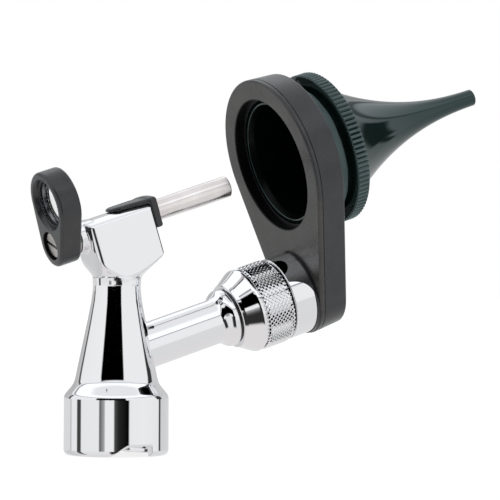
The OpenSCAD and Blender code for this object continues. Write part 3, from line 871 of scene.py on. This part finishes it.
def speculum():
    axis = CARRIER @ Matrix.Translation((0, 0, carrier_reach))
    x = points("speculum", axis)[:, 0]
    r = np.hypot(*points("speculum", axis)[:, 1:].T)
    start, tip = x.min(), x.max()
    at_rim = x[r > r.max() - 0.05]
    rim_near, rim_far = at_rim.min(), at_rim.max()
    rim = r.max() + 0.15
    hub = r[x < rim_near - 1.1].max()
    nose = r[x < start + 0.4].max()
    tip_r = r[x > tip - 0.01].max()
    length = tip - rim_far

    def funnel(t):
        return tip_r + (FUNNEL_R - tip_r) * (1 - t) ** 2.2

    outside = [(rim_far + 0.02 + length * t, funnel(t), 0) for t in np.linspace(0, 1, 44)[1:-1]]
    inside = [(rim_far + length * t, funnel(t) - WALL + WALL_TAPER * t, 0)
              for t in np.linspace(1, 0, 30)[1:]]
    ribs = [(rim_near + 0.22, rim, 0), (rim_near + 0.6, rim, 0),
            (rim_far - 0.6, rim, 0), (rim_far - 0.22, rim, 0)]
    back, bore = rim - 0.35, nose - 1.1
    outline = filleted([
        (start, nose - 0.5, 0.15), (start, nose, 0.2), (start + 1.1, nose, 0.2),
        (start + 1.4, hub - 0.02, 0.3), (rim_near - 1.2, hub, 0.3), (rim_near - 0.9, NECK_R, 0.3),
        (rim_near, NECK_R, 0.3), (rim_near, back, 0.1), *ribs, (rim_far, back, 0.1),
        (rim_far, FUNNEL_R + 0.3, 0.5), *outside, (tip, tip_r, 0.18), (tip, tip_r - 0.45, 0.15),
        *inside, (rim_near, bore, 0.5), (start + 1.5, bore, 0.3),
    ])

    def rib(_, radius, angle):
        if radius < rim - 0.01:
            return 0
        wave = 0.5 + 0.5 * math.cos(RIBS * angle)
        return -RIB_DEPTH * (1 - wave ** 0.7)

    steps = RIBS * 8
    obj = weld(lathe("ear_speculum", outline, axis, steps, rib), 40)
    obj = stands_for(obj, "speculum", "green", GREEN, "speculum")
    # The ribs and the visible band of hub take the lighter green: painted highlight.
    obj.data.materials.append(GREEN_RIM_LIT)
    for face in obj.data.polygons:
        along, *off = axis.inverted() @ face.center
        edge = rim - 0.2 if along > rim_near - 1 else hub - 0.3
        face.material_index = int(along < rim_far - 0.1 and math.hypot(*off) > edge)
    # Painted shade on the speculum's inside walls.
    paint_bore_shade(obj, axis, nose - 0.65, GREEN_BORE_SHADE)


# ---- CAD nodes that keep their shape ----

KEPT = {
    NICKEL: ("loupe_screw",),
    STEEL: ("socket_ring", "contact_spring", "loupe_spring_washer", "swivel_spring",
            "swivel_spindle", "spindle_washer", "spindle_clip", "carrier_screw", "cover_screws",
            "speculum_spring"),
    BRASS: ("arm_bush", "contact_pin", "contact_cap", "lamp_socket", "lamp_contact", "lamp_pin",
            "loupe_bush"),
    RESIN: ("contact_insulator", "lamp_base", "thrust_washer"),
    # The washer's dark ring round the collar is also painted shadow.
    WASHER_BLACK_SHADOW: ("carrier_washer",),
    GLASS: ("lamp_bulb", "lamp_window"),
    SLEEVE: ("feed_wire",),
}
ROUND_WIRES = ("contact_spring", "swivel_spring", "feed_wire")
EDGE_BREAK = 0.00008        # metres


def keep_nodes():
    """Gives each kept node its finish and breaks its sharp edges."""
    for finish, names in KEPT.items():
        for name in names:
            node = frame["nodes"][name]
            node.data.materials.clear()
            node.data.materials.append(finish)
            if name in ROUND_WIRES:
                continue
            edge = node.modifiers.new("broken_edges", "BEVEL")
            edge.width = EDGE_BREAK
            edge.segments = 2
            edge.angle_limit = math.radians(40)


# ---- studio ----

VIEW_AZIMUTH = math.radians(-27.103)
VIEW_ELEVATION = math.radians(-0.332)
VIEW_ROLL = math.radians(0.257)
VIEW_DISTANCE = 0.7
VIEW_TARGET = Vector((0.03345, 0, 0.04603))
LENS, SENSOR = 220.28, 36

# The room's brightness all round at three levels: degrees to the right of the camera, brightness
LOWER_RING = [
    (-180, 0.82), (-140, 0.7), (-125, 0.62), (-96, 0.8), (-93, 0.1), (-83, 0.1), (-80, 0.85),
    (-14, 0.85), (-8, 0.03), (24, 0.03), (28, 0.8), (112, 0.78), (180, 0.82),
]
LEVEL_RING = [
    (-180, 0.75), (-118, 0.78), (-115, 0.4), (-112, 0.9), (-94, 0.92), (-92, 0.06), (-82, 0.06),
    (-80, 0.9), (-36, 0.92), (-34, 0.12), (-23, 0.45), (-21.5, 0.95), (-3, 0.95), (-1, 0.08),
    (8, 0.02), (30, 0.0), (32, 0.92), (60, 0.95), (109, 0.9), (111, 0.05), (115, 0.05),
    (118, 0.7), (180, 0.75),
]
UPPER_RING = [
    (-180, 0.6), (-150, 0.5), (-129, 0.62), (-126, 0.1), (-119, 0.1), (-116, 0.93), (-44, 0.97),
    (-41, 0.0), (23, 0.0), (25, 0.95), (102, 0.95), (105, 0.04), (120, 0.04), (124, 0.7),
    (180, 0.6),
]

# Where each level or band of the room begins and ends, by the sine of the elevation
UPPER = [(0.0, 0.0), (0.05, 1.0)]
TOP = [(0.44, 0.0), (0.48, 1.0)]
SEAM = [(0.52, 0.0), (0.535, 1.0), (0.56, 1.0), (0.575, 0.0)]
GLOW = [(0.57, 0.0), (0.6, 1.0), (0.8, 1.0), (0.9, 0.0)]
# The same with 1 added, below the horizon
BELOW = [(0.85, 1.0), (0.91, 0.0)]
BOTTOM = [(0.22, 1.0), (0.34, 0.0)]
TOP_LIGHT = (0.9, 0.9, 0.92)
SEAM_LIGHT = (0.3, 0.3, 0.31)
GLOW_LIGHT = (1.16, 1.18, 1.22)
BOTTOM_LIGHT = (0.82, 0.79, 0.79)
WHITE = (1.0, 1.0, 1.0)


def view_axes():
    """The camera's right, up and back, before its roll."""
    a, e = VIEW_AZIMUTH, VIEW_ELEVATION
    back = Vector((math.sin(a) * math.cos(e), -math.cos(a) * math.cos(e), math.sin(e)))
    right = Vector((math.cos(a), math.sin(a), 0))
    return right, back.cross(right), back


def camera():
    right, up, back = view_axes()
    c, s = math.cos(VIEW_ROLL), math.sin(VIEW_ROLL)
    axes = Matrix((c * right + s * up, c * up - s * right, back)).transposed().to_4x4()
    axes.translation = VIEW_TARGET + VIEW_DISTANCE * back
    data = bpy.data.cameras.new("camera")
    data.lens = LENS
    data.sensor_width = SENSOR
    data.clip_start = 0.01
    made = bpy.data.objects.new("camera", data)
    made.matrix_world = axes
    bpy.context.scene.collection.objects.link(made)
    bpy.context.scene.camera = made


def room():
    """White surroundings with the dark gaps between the soft boxes that the plating mirrors."""
    world = bpy.data.worlds.new("room")
    bpy.context.scene.world = world
    world.use_nodes = True
    tree = Tree(world.node_tree)
    way = tree.node("TexCoord").outputs["Generated"]
    right, _, back = view_axes()
    ahead = Vector((back.x, back.y, 0)).normalized()
    turn = tree.math("ARCTAN2", tree.dot(way, right), tree.dot(way, ahead))
    turn = tree.math("MULTIPLY_ADD", turn, 1 / (2 * math.pi), 0.5)
    height = tree.dot(way, (0, 0, 1))

    def ring(stops):
        return tree.ramp(turn, [((a + 180) / 360, v) for a, v in stops], "LINEAR")

    under = tree.math("ADD", height, 1.0)
    light = tree.blend(tree.ramp(height, UPPER), ring(LEVEL_RING), ring(UPPER_RING))
    light = tree.blend(tree.ramp(height, TOP), light, TOP_LIGHT)
    light = tree.blend(tree.ramp(height, GLOW), light, GLOW_LIGHT)
    light = tree.blend(tree.ramp(height, SEAM), light, SEAM_LIGHT)
    light = tree.blend(tree.ramp(under, BELOW), light, ring(LOWER_RING))
    light = tree.blend(tree.ramp(under, BOTTOM), light, BOTTOM_LIGHT)
    path = tree.node("LightPath").outputs
    seen = tree.math("MAXIMUM", path["Is Camera Ray"], path["Is Transmission Ray"])
    lit = tree.node("Background", Strength=1.0)
    tree.put(lit.inputs["Color"], tree.blend(seen, light, WHITE))
    tree.put(tree.node("OutputWorld").inputs[0], lit.outputs[0])


def floor():
    """A white floor that the plating doesn't mirror."""
    side = 3.0
    corners = [(-side, -side, 0), (side, -side, 0), (side, side, 0), (-side, side, 0)]
    mesh = bpy.data.meshes.new("floor")
    mesh.from_pydata(corners, [], [(0, 1, 2, 3)])
    made = bpy.data.objects.new("floor", mesh)
    bpy.context.scene.collection.objects.link(made)
    pale = bpy.data.materials.new("pale_floor")
    pale.use_nodes = True
    tree = Tree(pale.node_tree)
    shader = tree.node("BsdfPrincipled", Base_Color=(0.25, 0.25, 0.25), Roughness=0.9,
                       Emission_Color=WHITE, Emission_Strength=0.82)
    tree.put(tree.node("OutputMaterial").inputs[0], shader.outputs[0])
    made.data.materials.append(pale)
    made.visible_glossy = False


camera()
room()
floor()
body()
arm()
collar()
nut()
loupe()
lamp()
clip()
carrier()
speculum()
keep_nodes()
bpy.context.scene.view_settings.view_transform = "Standard"
